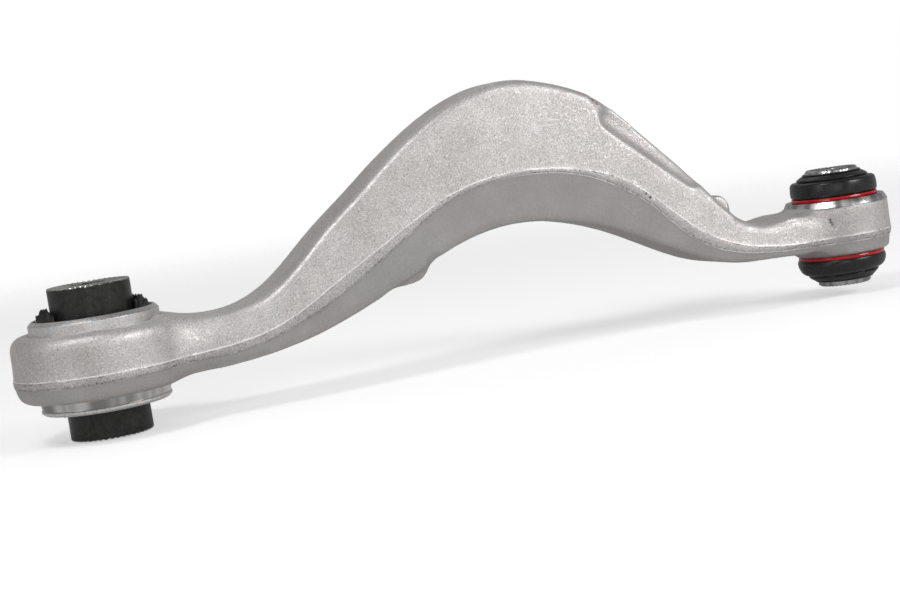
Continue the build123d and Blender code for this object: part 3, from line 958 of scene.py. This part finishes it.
# The lower boot is rounder, and pushed over: fuller on the side towards the arm
LOWER_LARGE_FOLD = [
    (19.7, 13.4), (19.8, 14.4), (20.6, 14.9), (21.4, 15.8), (21.5, 17.8), (20.9, 19.7),
    (20.0, 21.0), (19.0, 21.8), (18.1, 22.2), (17.3, 22.4), (17.0, 22.6),
]
LOWER_SMALL_FOLD = [
    (17.0, 22.6), (17.1, 22.85), (17.3, 23.15), (17.2, 23.5), (16.8, 23.9), (15.8, 24.9),
    (14.8, 25.7), (13.3, 25.9),
]
FULL_LARGE_FOLD = [
    (19.7, 13.4), (19.9, 14.4), (20.8, 14.8), (21.6, 15.7), (21.8, 17.6), (21.2, 19.8),
    (20.4, 21.4), (19.4, 22.4), (18.4, 22.9), (17.5, 23.15), (17.1, 23.3),
]
FULL_SMALL_FOLD = [
    (17.1, 23.3), (17.15, 23.6), (17.2, 23.9), (17.0, 24.3), (16.6, 24.7), (15.8, 25.3),
    (14.8, 25.8), (13.3, 25.9),
]
BOOT_WALL = 0.55


def mixed(first, second, share):
    """Points between two outlines."""
    return [
        (a[0] + (b[0] - a[0]) * share, a[1] + (b[1] - a[1]) * share)
        for a, b in zip(first, second)
    ]


def fold_section(angle, side, outlines):
    """Section of one fold: the second outline is on the arm's side, and its rim wavers a little."""
    share = (0.5 - 0.5 * math.cos(angle)) ** 2
    waver = 0.05 * math.sin(3 * angle + 1) + 0.04 * math.sin(7 * angle)
    closed = wall_section(mixed(*outlines, share), BOOT_WALL)
    return [(radius + waver * (height > 17), side * height) for radius, height in closed]


def boots():
    """Both rubber boots, each as two folds that meet in the groove between them."""
    for side, name, part, outlines, bodies, start, end in (
        (1, "upper", "large_fold", (LARGE_FOLD, LARGE_FOLD), ("arm", "boots"), 16.6, 22.6),
        (1, "upper", "small_fold", (SMALL_FOLD, SMALL_FOLD), ("boots", "collars"), 24.0, 26.0),
        (-1, "lower", "large_fold", (LOWER_LARGE_FOLD, FULL_LARGE_FOLD), ("arm", "boots"),
         16.6, 22.6),
        (-1, "lower", "small_fold", (LOWER_SMALL_FOLD, FULL_SMALL_FOLD), ("boots", "collars"),
         23.0, 25.2),
    ):
        piece = lathe(
            f"{name}_boot_{part}",
            lambda angle: fold_section(angle, side, outlines),
            BALL_CENTRE,
        )
        finish_piece(piece, boot_rubber, f"{name}_boot")
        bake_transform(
            piece, *bodies,
            start=(BALL_X, 0, side * start * MM), end=(BALL_X, 0, side * end * MM),
        )


def clamp_rings():
    """Red rings round the boots' feet, slightly rounded."""
    for side, name, foot, thick in (
        (1, "upper", BALL_EYE_TOP + 0.1, 1.6), (-1, "lower", 0.1 - BALL_EYE_BOTTOM, 1.9),
    ):
        outline = [
            (19.8, side * foot), (20.9, side * foot), (21.2, side * (foot + 0.5 * thick)),
            (20.9, side * (foot + thick)), (19.8, side * (foot + thick)),
        ]
        piece = turned_ring(f"{name}_clamp_ring_red", outline, BALL_CENTRE, 0.35)
        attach(piece, "arm")
        finish_piece(piece, red_plastic, f"{name}_boot_clamp_ring")


def seal_collars():
    """Black collars that carry on the boots' cones towards the sleeve's ends."""
    upper = [
        (13.05, 26.7), (14.1, 26.6), (14.5, 26.85), (14.2, 27.2), (13.8, 27.4), (13.05, 27.4),
    ]
    lower = [
        (13.05, -26.0), (14.2, -25.9), (14.5, -26.15), (14.0, -26.6), (13.05, -26.7),
    ]
    for name, outline in (("upper", upper), ("lower", lower)):
        piece = turned_ring(f"{name}_collar_ring", outline, BALL_CENTRE, 0.15)
        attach(piece, "collars")
        finish_piece(piece, collar_plastic, f"{name}_seal_collar")


def hidden_nodes():
    """CAD nodes inside the ball eye that keep their own meshes and only get materials."""
    for node, material in (
        ("ball_race_upper", race_plastic), ("ball_race_lower", race_plastic),
        ("ball_closing_ring", ring_steel),
    ):
        materials = frame["nodes"][node].data.materials
        materials.clear()
        materials.append(material)


arm_skin()
ball_eye_rim()
bush_sleeve()
bush_core()
bush_rubber_halves()
joint_sleeve()
boots()
clamp_rings()
seal_collars()
hidden_nodes()


# ------------------------------------------------------------------ floor, light and camera

def pale_floor():
    """Wide floor that fades into the white surroundings, and looks paler than it lights."""
    mesh = bpy.data.meshes.new("floor")
    shape = bmesh.new()
    bmesh.ops.create_circle(shape, cap_ends=True, radius=12, segments=96)
    shape.to_mesh(mesh)
    shape.free()
    floor = link("floor", mesh)
    floor.location.z = cad_box[0].z - 0.0005
    shader = Shader("floor_white")
    seen = shader.add("ShaderNodeLightPath").outputs["Is Camera Ray"]
    pale = shader.blend(seen, (0.55, 0.55, 0.55, 1), (0.82, 0.82, 0.82, 1))
    shader.set(base_color=pale, roughness=0.9, emission_color=(1, 1, 1, 1))
    shader.set(emission_strength=shader.plus(0.1, seen, 0.38))
    faded = shader.spread(shader.vector("LENGTH", shader.place)["Value"], 0.5, 1.6)
    clear = shader.add("ShaderNodeBsdfTransparent").outputs[0]
    mixer = shader.add("ShaderNodeMixShader", {0: faded, 1: shader.surface.outputs[0], 2: clear})
    shader.feed(shader.nodes["Material Output"].inputs["Surface"], mixer.outputs[0])
    mesh.materials.append(shader.material)


def surroundings():
    """White where the camera sees it; for light, pale at the sides and darker overhead."""
    world = bpy.data.worlds.new("studio")
    bpy.context.scene.world = world
    world.use_nodes = True
    nodes = world.node_tree.nodes
    links = world.node_tree.links
    nodes.clear()
    place = nodes.new("ShaderNodeTexCoord")
    split = nodes.new("ShaderNodeSeparateXYZ")
    ramp = nodes.new("ShaderNodeValToRGB")
    ramp.color_ramp.elements[0].position = 0.0
    ramp.color_ramp.elements[0].color = (0.4, 0.4, 0.4, 1)
    ramp.color_ramp.elements[1].position = 1.0
    ramp.color_ramp.elements[1].color = (0.15, 0.15, 0.152, 1)
    light = nodes.new("ShaderNodeBackground")
    seen = nodes.new("ShaderNodeBackground")
    seen.inputs["Color"].default_value = (1, 1, 1, 1)
    seen.inputs["Strength"].default_value = 1.0
    path = nodes.new("ShaderNodeLightPath")
    mixer = nodes.new("ShaderNodeMixShader")
    output = nodes.new("ShaderNodeOutputWorld")
    links.new(place.outputs["Generated"], split.inputs[0])
    links.new(split.outputs["Z"], ramp.inputs[0])
    links.new(ramp.outputs[0], light.inputs["Color"])
    links.new(path.outputs["Is Camera Ray"], mixer.inputs[0])
    links.new(light.outputs[0], mixer.inputs[1])
    links.new(seen.outputs[0], mixer.inputs[2])
    links.new(mixer.outputs[0], output.inputs[0])


# Soft boxes aimed at the part's middle: name, place, width and height, power in watts
LIGHT_TARGET = Vector((BALL_X / 2, 0, 0.02))
LIGHTS = [
    ("key", (1.0, -0.97, 0.61), (0.55, 0.5), 6.8),
    ("front", (-0.2, -1.5, 0.35), (0.6, 0.7), 1.4),
    ("left", (-1.1, -0.6, 0.45), (0.3, 0.6), 1.2),
    ("overhead", (-0.4, -0.45, 1.0), (0.3, 0.3), 3.6),
    ("back", (0.2, 0.9, 1.1), (1.2, 0.4), 0.8),
]


def soft_light(name, place, size, power):
    """Soft box aimed at the part, unseen by the camera."""
    data = bpy.data.lights.new(name, "AREA")
    data.shape = "RECTANGLE"
    data.size, data.size_y = size
    data.energy = power
    light = bpy.data.objects.new(name, data)
    bpy.context.scene.collection.objects.link(light)
    light.location = place
    light.rotation_mode = "QUATERNION"
    light.rotation_quaternion = (LIGHT_TARGET - Vector(place)).to_track_quat("-Z", "Y")
    light.visible_camera = False


def camera():
    """Long lens, slightly above the part and turned and rolled as a hand-held view."""
    yaw = math.radians(17.18)
    pitch = math.radians(5.61)
    roll = math.radians(-8.53)
    ahead = Vector((math.sin(yaw), math.cos(yaw), 0))
    forward = ahead * math.cos(pitch) - Vector((0, 0, math.sin(pitch)))
    level_right = Vector((math.cos(yaw), -math.sin(yaw), 0))
    level_up = level_right.cross(forward)
    right = level_right * math.cos(roll) + level_up * math.sin(roll)
    up = level_up * math.cos(roll) - level_right * math.sin(roll)
    data = bpy.data.cameras.new("camera")
    data.lens = 72
    data.sensor_width = 36
    camera_object = bpy.data.objects.new("camera", data)
    bpy.context.scene.collection.objects.link(camera_object)
    turn = Matrix((right, up, -forward)).transposed().to_4x4()
    camera_object.matrix_world = Matrix.Translation((-0.0838, -0.7992, 0.08)) @ turn
    bpy.context.scene.camera = camera_object


pale_floor()
surroundings()
for light_name, light_place, light_size, light_power in LIGHTS:
    soft_light(light_name, light_place, light_size, light_power)
camera()
bpy.context.scene.view_settings.view_transform = "Standard"
